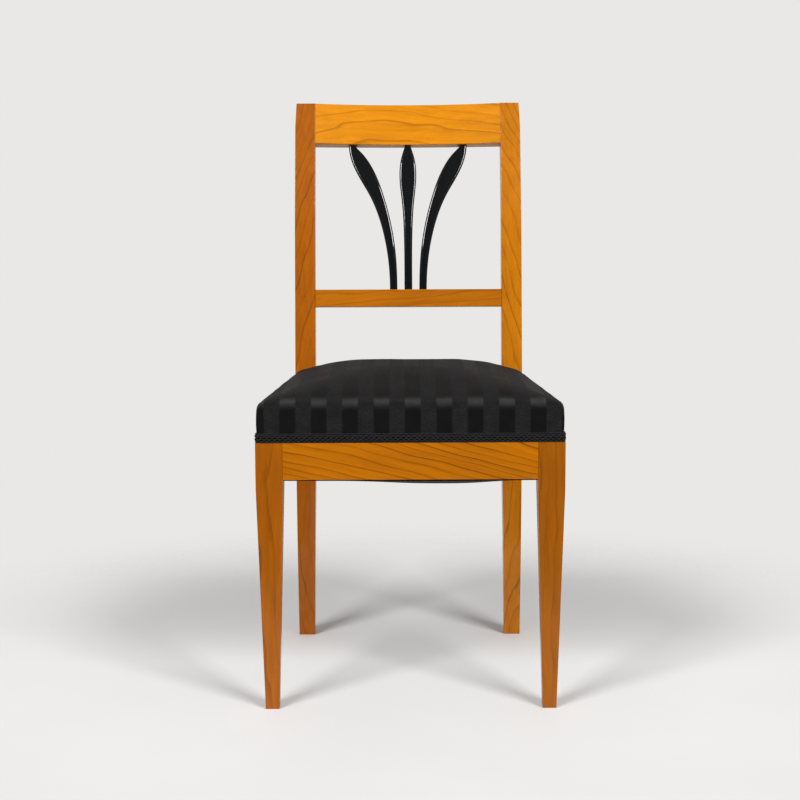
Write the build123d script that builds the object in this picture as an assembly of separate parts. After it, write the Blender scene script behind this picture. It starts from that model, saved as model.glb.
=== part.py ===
from build123d import *
import math
import os

# Biedermeier side chair in polished cherry, with a raked open back, three ebonised splats
# and a sprung seat stuffed over the frame. Millimetres, +Z up, the sitter faces -Y.
# Depths are set out from the front face of the front legs, and the finished chair is
# centred over its own box at the end.

# Overall
FRONT_WIDTH = 453.0
BACK_WIDTH = 378.5
SEAT_DEPTH = 395.6  # front face of the front legs to front face of the rear legs
BACK_HEIGHT = 903.5

# Front legs
LEG_SIZE = 40.0
FRONT_FOOT = 20.5
TAPER_DROP = 14.0  # square stretch below the rail
EDGE_RADIUS = 1.2
FOOT_EASE = 0.6  # chamfer round the underside of each foot

# Rear legs and stiles
STILE_WIDTH = 33.5
STILE_DEPTH = 36.0
REAR_FOOT_WIDTH = 26.5
REAR_FOOT_DEPTH = 25.0
FOOT_SPLAY = 35.3
RAKE = 8.5  # degrees, lower half of the back
TOP_RAKE = 17.0  # degrees, top of the back
KNEE_RADIUS = 250.0
BEND_RADIUS = 480.0
BEND_HEIGHT = 725.0
BEND_DEPTH = 30.0
TOP_DEPTH = 27.0
TOP_TAPER = 2.0
TOP_TAPER_LENGTH = 40.0

# Seat rails
RAIL_BOTTOM = 348.0
RAIL_FACE = 55.0  # polished wood below the braid
RAIL_THICK = 24.0
REBATE_HEIGHT = 12.5  # strip the cover is tacked to
REBATE_DEPTH = 2.5

# Back rails
CREST_HEIGHT = 69.6
CREST_THICK = 24.5
CREST_HOLLOW = 10.5  # front face, middle behind ends
CREST_BULGE = 4.0  # back face, middle behind ends
CROSS_HEIGHT = 29.0
CROSS_THICK = 20.0
CROSS_MIDDLE = 580.5
CROSS_SETBACK = 2.0

# Tenons
TENON_THICK = 9.0
TENON_LENGTH = 17.0
TENON_SHOULDER = 8.0  # wood above and below a tenon
TENON_GLUE = 0.15  # room for glue round a tenon
TENON_END = 1.0  # room at the end of a mortise

# Splats
SPLAT_THICK = 15.0
SPLAT_ROUND = 3.0
SPLAT_TENON_THICK = 7.0
SPLAT_TENON_WIDTH = 7.0
SPLAT_TENON_LENGTH = 10.0
# Edges seen from the front: distance from the chair's middle, share of the splat's height
CENTRE_SPLAT_EDGE = (
    (6.6, 0.0), (7.3, 0.40), (10.3, 0.61), (14.1, 0.77), (14.2, 0.82), (12.9, 0.88), (9.7, 0.94), (4.9, 1.0)
)
SIDE_SPLAT_INNER = ((18.3, 0.0), (23.6, 0.35), (41.0, 0.66), (62.3, 0.87), (74.3, 0.94), (88.5, 1.0))
SIDE_SPLAT_OUTER = ((30.9, 0.0), (39.2, 0.35), (64.9, 0.66), (92.4, 0.87), (98.2, 0.95), (99.7, 1.0))

# Corner blocks and their screws
BLOCK_REACH = 50.0
BLOCK_HEIGHT = 32.0
BLOCK_DROP = 10.0  # block's underside above the rail's underside
SCREW_DIAMETER = 4.0
SCREW_LENGTH = 32.0
SCREW_HEAD = 8.0
SCREW_HEAD_HEIGHT = 3.0
SCREW_BITE = 15.0
SCREW_ROOM = 0.1

# Webbing
WEB_WIDTH = 50.0
WEB_THICK = 1.3
WEB_GAP = 0.3
WEB_SPACING = 85.0  # cross strips, middle to middle
WEB_INSET = 13.0  # strip's end inside the frame's outer face
TACK_INSET = 5.0
TACK_SPACING = 16.0
TACK_HEAD = 7.0
TACK_HEAD_HEIGHT = 0.7
TACK_SHANK = 1.8
TACK_LENGTH = 11.0
TACK_ROOM = 0.1

# Springs
SPRING_TURNS = 5
SPRING_RADIUS = 40.0
SPRING_WAIST = 24.0
SPRING_WIRE = 4.0
SPRING_ROOM = 0.1
SPRING_MARGIN = 1.7  # side of a rear spring to the edge of the canvas's flat middle

# Canvas, stuffing, cover and braid
CANVAS_RISE = 26.0
CANVAS_THICK = 1.5
CANVAS_SLOPE = 45.0  # width of the sloping border
CANVAS_LAP = 12.0  # lap on the top of the rails
COVER_THICK = 1.3
COVER_CORNER = 5.0
COVER_ROOM = 0.3
SEAT_RISE = 83.0  # top of the rails to the crown
# Levels of the seat's sides: share of the rise, distance in from the frame, corner radius
SEAT_SIDES = (
    (0.0, REBATE_DEPTH - COVER_THICK, COVER_CORNER), (0.14, -1.5, 8.0), (0.34, -1.7, 11.0), (0.47, 1.5, 13.0)
)
# Levels of its dome: share of the rise, share of the way in, corner as a share of what is left
SEAT_DOME = ((0.66, 0.143, 0.21), (0.79, 0.317, 0.40), (0.93, 0.581, 0.68), (1.0, 0.872, 0.97))
BRAID_THICK = 2.6

# Bottom cloth
CLOTH_THICK = 1.0
CLOTH_INSET = 3.0
CLOTH_SAG = 31.0
CLOTH_LOW_X = 60.0  # lowest point to the sitter's left of the middle
CLOTH_EDGE_SAG = 0.8
CLOTH_SECTIONS = 5

# Worked out from the sizes above
REBATE_FOOT = RAIL_BOTTOM + RAIL_FACE
RAIL_TOP = REBATE_FOOT + REBATE_HEIGHT
SEAT_BACK = SEAT_DEPTH + STILE_DEPTH
SEAT_REACH = min(BACK_WIDTH, SEAT_DEPTH) / 2  # rim of the seat to the middle of its dome
LEG_INNER = FRONT_WIDTH / 2 - LEG_SIZE
STILE_INNER = BACK_WIDTH / 2 - STILE_WIDTH
SIDE_SLOPE = (FRONT_WIDTH - BACK_WIDTH) / 2 / SEAT_DEPTH
SIDE_ANGLE = math.atan(SIDE_SLOPE)
RAIL_SPAN = RAIL_THICK / math.cos(SIDE_ANGLE)  # side rail measured along X
REAR_RAIL_FRONT = SEAT_BACK - RAIL_THICK
MORTISE_HEIGHT = RAIL_FACE - 2 * TENON_SHOULDER
MORTISE_MIDDLE = RAIL_BOTTOM + RAIL_FACE / 2
FAR = 2 * BACK_HEIGHT  # longer than anything on the chair

KNEE = RAIL_TOP + KNEE_RADIUS * math.tan(math.radians(RAKE) / 2)
BEND_Y = SEAT_DEPTH + (BEND_HEIGHT - KNEE) * math.tan(math.radians(RAKE))
TOP_Y = BEND_Y + (BACK_HEIGHT - BEND_HEIGHT) * math.tan(math.radians(TOP_RAKE))
CROSS_Y = SEAT_DEPTH + (CROSS_MIDDLE - KNEE) * math.tan(math.radians(RAKE))


def raked_plane(y, z, angle):
    """Plane across the back: X across the chair, Y out through the back, Z up the rake."""
    turn = math.radians(angle)
    return Plane(origin=(0, y, z), x_dir=(1, 0, 0), z_dir=(0, math.sin(turn), math.cos(turn)))


CREST_PLANE = raked_plane(TOP_Y, BACK_HEIGHT, TOP_RAKE)
CROSS_PLANE = raked_plane(CROSS_Y, CROSS_MIDDLE, RAKE)


def side_x(y):
    """Outer face of the seat frame at depth y."""
    return FRONT_WIDTH / 2 - y * SIDE_SLOPE


def block(x0, x1, y0, y1, z0, z1):
    middle = Pos((x0 + x1) / 2, (y0 + y1) / 2, (z0 + z1) / 2)
    return middle * Box(x1 - x0, y1 - y0, z1 - z0)


def prism(points, z0, z1):
    face = make_face(Polyline(*points, close=True))
    return Pos(0, 0, z0) * extrude(face, z1 - z0)


def across(shape):
    return mirror(shape, about=Plane.YZ)


def both_sides(shape):
    return shape + across(shape)


def peg(plane, thick, height, length, grow=0.0, end=0.0):
    """Tenon that stands on a plane along its Z, or its mortise when it is grown."""
    root = 1.0
    body = Box(thick + 2 * grow, height + 2 * grow, length + end + root)
    return plane * Pos(0, 0, (length + end - root) / 2) * body


def tenon(plane, thick, height, length):
    return peg(plane, thick, height, length)


def mortise(plane, thick, height, length):
    return peg(plane, thick, height, length, TENON_GLUE, TENON_END)


def seat_outline(inset, corner, z):
    """Plan of the seat, moved in from the frame's outer faces, with rounded corners."""
    front = inset
    rear = SEAT_BACK - inset
    shift = inset / math.cos(SIDE_ANGLE)
    half_front = side_x(front) - shift
    half_rear = side_x(rear) - shift
    points = [(-half_front, front), (half_front, front), (half_rear, rear), (-half_rear, rear)]
    face = make_face(Polyline(*points, close=True))
    return Pos(0, 0, z) * fillet(face.vertices(), corner)


def seat_prism(inset, corner, z0, z1):
    return extrude(seat_outline(inset, corner, z0), z1 - z0)


# Where the tenons of the seat frame and the back stand, on the right of the chair
FRONT_TENON = Plane((LEG_INNER, RAIL_THICK / 2, MORTISE_MIDDLE), x_dir=(0, 1, 0), z_dir=(1, 0, 0))
SIDE_FRONT_TENON = Plane(
    (side_x(LEG_SIZE) - RAIL_SPAN / 2, LEG_SIZE, MORTISE_MIDDLE), x_dir=(1, 0, 0), z_dir=(0, -1, 0)
)
SIDE_REAR_TENON = Plane(
    (side_x(SEAT_DEPTH) - RAIL_SPAN / 2, SEAT_DEPTH, MORTISE_MIDDLE), x_dir=(1, 0, 0), z_dir=(0, 1, 0)
)
REAR_TENON = Plane(
    (STILE_INNER, SEAT_BACK - RAIL_THICK / 2, MORTISE_MIDDLE), x_dir=(0, 1, 0), z_dir=(1, 0, 0)
)
CROSS_TENON = CROSS_PLANE * Plane(
    (STILE_INNER, CROSS_SETBACK + CROSS_THICK / 2, 0), x_dir=(0, 1, 0), z_dir=(1, 0, 0)
)
CREST_TENON = CREST_PLANE * Plane(
    (STILE_INNER, CREST_THICK / 2, -CREST_HEIGHT / 2), x_dir=(0, 1, 0), z_dir=(1, 0, 0)
)
CROSS_TENON_HEIGHT = CROSS_HEIGHT - TENON_SHOULDER
CREST_TENON_HEIGHT = CREST_HEIGHT - 2 * TENON_SHOULDER
# The side rail's rear tenon and the rear rail's tenon share one post, side by side
REAR_TENON_LENGTH = side_x(SEAT_DEPTH) - RAIL_SPAN / 2 - TENON_THICK / 2 - STILE_INNER - 2 * TENON_END
SIDE_TENON_LENGTH = LEG_SIZE - RAIL_THICK / 2 - TENON_THICK / 2 - 2 * TENON_END

REBATE = block(-FAR, FAR, -FAR, FAR, REBATE_FOOT, FAR) - seat_prism(
    REBATE_DEPTH, COVER_CORNER - COVER_THICK, REBATE_FOOT, FAR
)


def eased_foot(leg):
    underside = leg.faces().sort_by(Axis.Z)[0]
    return chamfer(underside.edges(), FOOT_EASE)


def front_leg():
    """Square leg, tapered evenly to the foot, its outer face in line with the side rail."""
    top = [(LEG_INNER, 0), (side_x(0), 0), (side_x(LEG_SIZE), LEG_SIZE), (LEG_INNER, LEG_SIZE)]
    middle_x = FRONT_WIDTH / 2 - LEG_SIZE / 2
    half = FRONT_FOOT / 2
    foot = [
        (middle_x - half, LEG_SIZE / 2 - half),
        (middle_x + half, LEG_SIZE / 2 - half),
        (middle_x + half, LEG_SIZE / 2 + half),
        (middle_x - half, LEG_SIZE / 2 + half),
    ]
    levels = ((top, RAIL_TOP), (top, RAIL_BOTTOM - TAPER_DROP), (foot, 0))
    sections = []
    for points, z in levels:
        face = make_face(Polyline(*points, close=True))
        sections.append(Pos(0, 0, z) * fillet(face.vertices(), EDGE_RADIUS))
    leg = eased_foot(loft(sections, ruled=True))
    leg -= mortise(FRONT_TENON, TENON_THICK, MORTISE_HEIGHT, TENON_LENGTH)
    leg -= mortise(SIDE_FRONT_TENON, TENON_THICK, MORTISE_HEIGHT, SIDE_TENON_LENGTH)
    return leg - REBATE


def stile_line(seat_y, foot_y, bend, top):
    """One long edge of the rear leg seen from the side, from the top down to the foot."""
    knee = (seat_y, KNEE)
    seat = (seat_y, RAIL_BOTTOM)
    back = FilletPolyline(top, bend, knee, seat, radius=[BEND_RADIUS, KNEE_RADIUS])
    sabre = TangentArc(seat, (foot_y, 0), tangent=(0, -1))
    return back, sabre


def rear_leg():
    """Leg and stile in one piece: splayed below the seat, raked above it, bent at the top."""
    turn = math.radians(TOP_RAKE)
    half_turn = math.radians((RAKE + TOP_RAKE) / 2)
    top = (TOP_Y, BACK_HEIGHT)
    top_rear = (TOP_Y + TOP_DEPTH * math.cos(turn), BACK_HEIGHT - TOP_DEPTH * math.sin(turn))
    bend = (BEND_Y, BEND_HEIGHT)
    bend_rear = (
        BEND_Y + BEND_DEPTH * math.cos(half_turn),
        BEND_HEIGHT - BEND_DEPTH * math.sin(half_turn),
    )
    foot_y = SEAT_DEPTH + FOOT_SPLAY
    front, front_sabre = stile_line(SEAT_DEPTH, foot_y, bend, top)
    rear, rear_sabre = stile_line(SEAT_BACK, foot_y + REAR_FOOT_DEPTH, bend_rear, top_rear)
    foot = Line((foot_y, 0), (foot_y + REAR_FOOT_DEPTH, 0))
    profile = make_face([front, front_sabre, foot, rear_sabre, rear, Line(top_rear, top)])
    leg = Pos(STILE_INNER, 0, 0) * extrude(Plane.YZ * profile, STILE_WIDTH)
    long_edges = leg.edges().filter_by(lambda edge: edge.length > STILE_DEPTH + EDGE_RADIUS)
    leg = fillet(long_edges, EDGE_RADIUS)

    outer = BACK_WIDTH / 2
    inside = STILE_INNER - FAR
    outside = outer + FAR
    taper_start = BACK_HEIGHT - TOP_TAPER_LENGTH
    foot_inner = (outer - REAR_FOOT_WIDTH, 0)
    top_outer = (outer - TOP_TAPER, BACK_HEIGHT)
    foot_cut = [(STILE_INNER, RAIL_BOTTOM), foot_inner, (inside, 0), (inside, RAIL_BOTTOM)]
    top_cut = [(outer, taper_start), top_outer, (outside, BACK_HEIGHT), (outside, taper_start)]
    for points in (foot_cut, top_cut):
        cut = make_face(Polyline(*points, close=True))
        leg -= extrude(Plane.XZ * cut, FAR, both=True)
    leg = eased_foot(leg)
    leg -= mortise(SIDE_REAR_TENON, TENON_THICK, MORTISE_HEIGHT, TENON_LENGTH)
    leg -= mortise(REAR_TENON, TENON_THICK, MORTISE_HEIGHT, REAR_TENON_LENGTH)
    leg -= mortise(CROSS_TENON, TENON_THICK, CROSS_TENON_HEIGHT, TENON_LENGTH)
    return leg - mortise(CREST_TENON, TENON_THICK, CREST_TENON_HEIGHT, TENON_LENGTH)


def front_rail():
    rail = block(-LEG_INNER, LEG_INNER, 0, RAIL_THICK, RAIL_BOTTOM, RAIL_TOP)
    lower_edge = rail.edges().filter_by(Axis.X).group_by(Axis.Z)[0].sort_by(Axis.Y)[0]
    rail = fillet(lower_edge, EDGE_RADIUS)
    rail += both_sides(tenon(FRONT_TENON, TENON_THICK, MORTISE_HEIGHT, TENON_LENGTH))
    return rail - REBATE


def side_rail():
    points = [
        (side_x(LEG_SIZE), LEG_SIZE),
        (side_x(SEAT_DEPTH), SEAT_DEPTH),
        (side_x(SEAT_DEPTH) - RAIL_SPAN, SEAT_DEPTH),
        (side_x(LEG_SIZE) - RAIL_SPAN, LEG_SIZE),
    ]
    rail = prism(points, RAIL_BOTTOM, RAIL_TOP)
    rail += tenon(SIDE_FRONT_TENON, TENON_THICK, MORTISE_HEIGHT, SIDE_TENON_LENGTH)
    rail += tenon(SIDE_REAR_TENON, TENON_THICK, MORTISE_HEIGHT, TENON_LENGTH)
    return rail - REBATE


def rear_rail():
    rail = block(-STILE_INNER, STILE_INNER, REAR_RAIL_FRONT, SEAT_BACK, RAIL_BOTTOM, RAIL_TOP)
    rail += both_sides(tenon(REAR_TENON, TENON_THICK, MORTISE_HEIGHT, REAR_TENON_LENGTH))
    return rail - REBATE


def crest_plan():
    """Plan of the crest: hollow in front, slightly round behind."""
    rear_middle = CREST_THICK + CREST_BULGE
    hollow = ThreePointArc((-STILE_INNER, 0), (0, CREST_HOLLOW), (STILE_INNER, 0))
    right = Line((STILE_INNER, 0), (STILE_INNER, CREST_THICK))
    back = ThreePointArc((STILE_INNER, CREST_THICK), (0, rear_middle), (-STILE_INNER, CREST_THICK))
    left = Line((-STILE_INNER, CREST_THICK), (-STILE_INNER, 0))
    return make_face([hollow, right, back, left])


def crest_rail():
    rail = extrude(crest_plan(), -CREST_HEIGHT)
    rail = fillet(rail.edges().filter_by(GeomType.CIRCLE), EDGE_RADIUS)
    rail = CREST_PLANE * rail
    rail += both_sides(tenon(CREST_TENON, TENON_THICK, CREST_TENON_HEIGHT, TENON_LENGTH))
    return rail


def cross_rail():
    half = CROSS_HEIGHT / 2
    rail = block(-STILE_INNER, STILE_INNER, CROSS_SETBACK, CROSS_SETBACK + CROSS_THICK, -half, half)
    rail = CROSS_PLANE * fillet(rail.edges().filter_by(Axis.X), EDGE_RADIUS)
    rail += both_sides(tenon(CROSS_TENON, TENON_THICK, CROSS_TENON_HEIGHT, TENON_LENGTH))
    return rail


# The splats stand on the middle of the cross rail and reach the middle of the crest
SPLAT_FOOT_V = CROSS_SETBACK + CROSS_THICK / 2
SPLAT_TIP_V = (CREST_HOLLOW + CREST_THICK + CREST_BULGE) / 2
SPLAT_FOOT_AT = CROSS_PLANE.from_local_coords(Vector(0, SPLAT_FOOT_V, CROSS_HEIGHT / 2))
SPLAT_TIP_AT = CREST_PLANE.from_local_coords(Vector(0, SPLAT_TIP_V, -CREST_HEIGHT))
SPLAT_HEIGHT = SPLAT_TIP_AT.Z - SPLAT_FOOT_AT.Z


def splat_level(share):
    return SPLAT_FOOT_AT.Z + share * SPLAT_HEIGHT


def splat_slab():
    """Side view of the splats: one curved board cut to the rails above and below."""
    half = SPLAT_THICK / 2
    corners = []
    foot = (CROSS_PLANE, SPLAT_FOOT_V, CROSS_HEIGHT / 2)
    tip = (CREST_PLANE, SPLAT_TIP_V, -CREST_HEIGHT)
    for plane, v, w in (foot, tip):
        for offset in (-half, half):
            corner = plane.from_local_coords(Vector(0, v + offset, w))
            corners.append((corner.Y, corner.Z))
    foot_front, foot_rear, tip_front, tip_rear = corners
    upward = (math.sin(math.radians(RAKE)), math.cos(math.radians(RAKE)))
    profile = make_face([
        TangentArc(foot_front, tip_front, tangent=upward),
        Line(tip_front, tip_rear),
        TangentArc(foot_rear, tip_rear, tangent=upward),
        Line(foot_rear, foot_front),
    ])
    return extrude(Plane.YZ * profile, FAR, both=True)


def splat_from(left_edge, right_edge):
    """Cut a splat out of the curved board between two edges seen from the front."""
    over = SPLAT_THICK  # the outline runs past the board's ends
    up = Vector(0, 1)
    lines = []
    ends = []
    for edge in (left_edge, right_edge):
        points = [(x, splat_level(share)) for x, share in edge]
        tip_way = Vector(*points[-1]) - Vector(*points[-2])
        lines.append(Spline(*points, tangents=(up, tip_way)))
        low = (points[0][0], points[0][1] - over)
        high = (points[-1][0], points[-1][1] + over)
        lines.append(Line(low, points[0]))
        lines.append(Line(points[-1], high))
        ends.append((low, high))
    (left_low, left_high), (right_low, right_high) = ends
    lines.append(Line(left_low, right_low))
    lines.append(Line(left_high, right_high))
    outline = extrude(Plane.XZ * make_face(lines), FAR, both=True)
    splat = outline & splat_slab()
    long_edges = splat.edges().filter_by(lambda edge: edge.length > SPLAT_HEIGHT / 2)
    return fillet(long_edges, SPLAT_ROUND)


def centre_splat():
    """Slender stem that swells to a bud and closes again under the crest."""
    return splat_from([(-x, share) for x, share in CENTRE_SPLAT_EDGE], CENTRE_SPLAT_EDGE)


def side_splat():
    """Leaf that leaves the stem upright, leans out and closes to a tip under the crest."""
    return splat_from(SIDE_SPLAT_INNER, SIDE_SPLAT_OUTER)


def splat_tenons(foot_x, tip_x):
    """Stub tenons at a splat's two ends: their planes, into the cross rail and into the crest."""
    down = CROSS_PLANE * Plane((foot_x, SPLAT_FOOT_V, CROSS_HEIGHT / 2), x_dir=(1, 0, 0), z_dir=(0, 0, -1))
    up = CREST_PLANE * Plane((tip_x, SPLAT_TIP_V, -CREST_HEIGHT), x_dir=(1, 0, 0), z_dir=(0, 0, 1))
    return down, up


def corner_screw(at, direction, face_depth):
    """Wood screw square to a rail: its head lies in a pocket of the corner block."""
    plane = Plane(at, z_dir=direction)
    seat = SCREW_BITE - SCREW_LENGTH
    middle = Pos(0, 0, SCREW_BITE - SCREW_LENGTH / 2)
    shank = middle * Cylinder(SCREW_DIAMETER / 2, SCREW_LENGTH)
    head = Pos(0, 0, seat - SCREW_HEAD_HEIGHT / 2) * Cylinder(SCREW_HEAD / 2, SCREW_HEAD_HEIGHT)
    hole = middle * Cylinder(SCREW_DIAMETER / 2 + SCREW_ROOM, SCREW_LENGTH)
    pocket = Pos(0, 0, seat - face_depth / 2) * Cylinder(SCREW_HEAD / 2 + SCREW_ROOM, face_depth)
    return plane * (shank + head), plane * (hole + pocket)


def front_block():
    """Block in the front corner: its plan, notched for the leg, and where its screws go in."""
    inner_near = side_x(LEG_SIZE) - RAIL_SPAN
    far_y = LEG_SIZE + BLOCK_REACH
    inner_far = side_x(far_y) - RAIL_SPAN
    points = [
        (LEG_INNER - BLOCK_REACH, RAIL_THICK),
        (LEG_INNER, RAIL_THICK),
        (LEG_INNER, LEG_SIZE),
        (inner_near, LEG_SIZE),
        (inner_far, far_y),
    ]
    return points, (LEG_INNER - BLOCK_REACH / 2, RAIL_THICK), (0, -1, 0), LEG_SIZE + BLOCK_REACH / 2


def rear_block():
    """Block in the rear corner: its plan, notched for the leg, and where its screws go in."""
    near_y = SEAT_DEPTH - BLOCK_REACH
    points = [
        (side_x(near_y) - RAIL_SPAN, near_y),
        (side_x(SEAT_DEPTH) - RAIL_SPAN, SEAT_DEPTH),
        (STILE_INNER, SEAT_DEPTH),
        (STILE_INNER, REAR_RAIL_FRONT),
        (STILE_INNER - BLOCK_REACH, REAR_RAIL_FRONT),
    ]
    return points, (STILE_INNER - BLOCK_REACH / 2, REAR_RAIL_FRONT), (0, 1, 0), SEAT_DEPTH - BLOCK_REACH / 2


def corner_block(points, cross_at, cross_direction, side_y):
    """Corner block of the right side, with the screws that hold it and the holes they need."""
    low = RAIL_BOTTOM + BLOCK_DROP
    solid = prism(points, low, low + BLOCK_HEIGHT)
    z = low + BLOCK_HEIGHT / 2
    side_direction = (math.cos(SIDE_ANGLE), math.sin(SIDE_ANGLE), 0)
    side_at = (side_x(side_y) - RAIL_SPAN, side_y, z - SCREW_HEAD)
    pairs = [
        corner_screw((*cross_at, z + SCREW_HEAD), cross_direction, BLOCK_REACH),
        corner_screw(side_at, side_direction, BLOCK_REACH),
    ]
    screws = [screw for screw, hole in pairs]
    holes = [hole for screw, hole in pairs]
    for hole in holes:
        solid -= hole
    return solid, screws, holes


# Webbing crosses where the springs stand, and the rear springs stand under the canvas's flat middle
WEB_MIDDLE_Y = (RAIL_THICK + REAR_RAIL_FRONT) / 2
WEB_Y = [WEB_MIDDLE_Y - WEB_SPACING, WEB_MIDDLE_Y, WEB_MIDDLE_Y + WEB_SPACING]
SPRING_INSET = RAIL_THICK + CANVAS_SLOPE + SPRING_MARGIN + SPRING_RADIUS + SPRING_WIRE / 2
SPRING_X = side_x(WEB_Y[2]) - SPRING_INSET / math.cos(SIDE_ANGLE)
WEB_X = [-SPRING_X, 0.0, SPRING_X]


def woven_profile(start, end, crossings, first_under):
    """Side view of a strip that goes over and under the strips it crosses."""
    half = WEB_WIDTH / 2 + WEB_THICK
    dip = WEB_THICK + WEB_GAP
    landing = RAIL_THICK - WEB_INSET  # flat on the rail
    line = [(start, 0.0), (start + landing, 0.0)]
    for index, crossing in enumerate(crossings):
        under = (index + first_under) % 2 == 1
        level = -dip if under else 0.0
        line += [(crossing - half, level), (crossing + half, level)]
    line += [(end - landing, 0.0), (end, 0.0)]
    lower = [(s, RAIL_BOTTOM + level - WEB_THICK) for s, level in reversed(line)]
    upper = [(s, RAIL_BOTTOM + level) for s, level in line]
    return make_face(Polyline(*upper, *lower, close=True))


def tack(x, y, room=0.0):
    underside = RAIL_BOTTOM - WEB_THICK
    head_z = underside - TACK_HEAD_HEIGHT / 2
    shank = Pos(x, y, underside + TACK_LENGTH / 2) * Cylinder(TACK_SHANK / 2 + room, TACK_LENGTH + 2 * room)
    if room:
        return shank
    return shank + Pos(x, y, head_z) * Cylinder(TACK_HEAD / 2, TACK_HEAD_HEIGHT)


def long_strip(index):
    """Strip from the front rail to the rear rail, and the places of its tacks."""
    x = WEB_X[index]
    start, end = WEB_INSET, SEAT_BACK - WEB_INSET
    face = woven_profile(start, end, WEB_Y, index)
    strip = Pos(x, 0, 0) * extrude(Plane.YZ * face, WEB_WIDTH / 2, both=True)
    tacks = []
    for y in (start + TACK_INSET, end - TACK_INSET):
        tacks += [(x + step * TACK_SPACING, y) for step in (-1, 0, 1)]
    return strip, tacks


def cross_strip(index):
    """Strip from side rail to side rail, and the places of its tacks."""
    y = WEB_Y[index]
    end = side_x(y + WEB_WIDTH / 2) - WEB_INSET
    face = woven_profile(-end, end, WEB_X, index + 1)
    strip = Pos(0, y, 0) * extrude(Plane.XZ * face, WEB_WIDTH / 2, both=True)
    tacks = []
    for x in (-end + TACK_INSET, end - TACK_INSET):
        tacks += [(x, y + step * TACK_SPACING) for step in (-1, 0, 1)]
    return strip, tacks


def spring_points():
    """Ends of the half turns of a waisted spring: wide and flat at both ends."""
    low = RAIL_BOTTOM + SPRING_WIRE / 2 + SPRING_ROOM
    high = RAIL_TOP + CANVAS_RISE - CANVAS_THICK - SPRING_WIRE / 2 - SPRING_ROOM
    halves = 2 * SPRING_TURNS
    points = []
    for step in range(halves + 1):
        climb = min(max((step - 1) / (halves - 2), 0.0), 1.0)
        radius = SPRING_WAIST + (SPRING_RADIUS - SPRING_WAIST) * abs(2 * climb - 1)
        side = 1 if step % 2 == 0 else -1
        points.append(Vector(side * radius, 0, low + (high - low) * climb))
    return points


def seat_spring():
    """One wire wound in half turns, each a half circle that leans with its climb."""
    points = spring_points()
    turns = []
    for step, (start, end) in enumerate(zip(points, points[1:])):
        side = 1 if step % 2 == 0 else -1
        middle = (start + end) / 2
        crown = middle + Vector(0, side * (end - start).length / 2, 0)
        turns.append(ThreePointArc(start, crown, end))
    path = Wire(turns)
    section = Plane(path @ 0, z_dir=path % 0) * Circle(SPRING_WIRE / 2)
    return sweep(section, path), turns


def spring_gap(turns):
    """Least clear distance between one half turn of the wire and any that isn't its neighbour."""
    count = 24
    samples = [[turn @ (step / count) for step in range(count + 1)] for turn in turns]
    least = FAR
    for first in range(len(samples)):
        for second in range(first + 2, len(samples)):
            for a in samples[first]:
                for b in samples[second]:
                    least = min(least, (a - b).length)
    return least - SPRING_WIRE


def canvas_shape(drop):
    """Raised middle of the spring canvas, or the space under it when it is dropped."""
    base = seat_outline(RAIL_THICK - CANVAS_LAP / 2 + drop, COVER_CORNER, RAIL_TOP)
    top = seat_outline(RAIL_THICK + CANVAS_SLOPE + drop, COVER_CORNER, RAIL_TOP + CANVAS_RISE - drop)
    return loft([base, top], ruled=True)


def stile_notches():
    """Room for the stiles in whatever lies over the seat frame."""
    notch = block(STILE_INNER - COVER_ROOM, FAR, SEAT_DEPTH - COVER_ROOM, FAR, 0, FAR)
    return both_sides(notch)


def spring_canvas():
    lap = seat_prism(RAIL_THICK - CANVAS_LAP, COVER_CORNER, RAIL_TOP, RAIL_TOP + CANVAS_THICK)
    return lap + canvas_shape(0.0) - canvas_shape(CANVAS_THICK) - stile_notches()


def dome_row(share, way_in, roundness):
    """Level of the dome with its distance in and its corner radius, like the levels of the sides."""
    inset = way_in * SEAT_REACH
    half_rear = side_x(SEAT_BACK - inset) - inset / math.cos(SIDE_ANGLE)
    return share, inset, roundness * min(half_rear, SEAT_BACK / 2 - inset)


def crown(skin):
    """Domed seat above the rails: drawn in at the braid, full at the sides, rolled at the edge."""

    def level(share, inset, corner):
        return seat_outline(inset + skin, corner - skin, RAIL_TOP + share * (SEAT_RISE - skin))

    sides = [level(*row) for row in SEAT_SIDES]
    dome = [level(*dome_row(*row)) for row in SEAT_DOME]
    return loft(sides) + loft(sides[-1:] + dome)


def seat_solids():
    """Stuffing and the cover over it."""
    inner = crown(COVER_THICK)
    tacked = REBATE_DEPTH - COVER_THICK
    outer_skirt = seat_prism(tacked, COVER_CORNER, REBATE_FOOT, RAIL_TOP)
    inner_skirt = seat_prism(REBATE_DEPTH, COVER_CORNER - COVER_THICK, REBATE_FOOT, RAIL_TOP)
    notches = stile_notches()
    cover = crown(0.0) - inner + (outer_skirt - inner_skirt) - notches
    filling = inner - canvas_shape(0.0) - notches
    filling -= seat_prism(RAIL_THICK - CANVAS_LAP, COVER_CORNER, RAIL_TOP, RAIL_TOP + CANVAS_THICK)
    return filling, cover


def braid():
    """Flat braid over the tacks of the cover: round the front and sides, and across the back."""
    tacked = REBATE_DEPTH - COVER_THICK
    ring = seat_prism(tacked - BRAID_THICK, COVER_CORNER + BRAID_THICK, REBATE_FOOT, RAIL_TOP)
    ring -= seat_prism(tacked, COVER_CORNER, REBATE_FOOT, RAIL_TOP)
    ring -= stile_notches()
    pieces = ring.solids().sort_by(Axis.Y)
    return pieces[0], pieces[-1]


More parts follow.
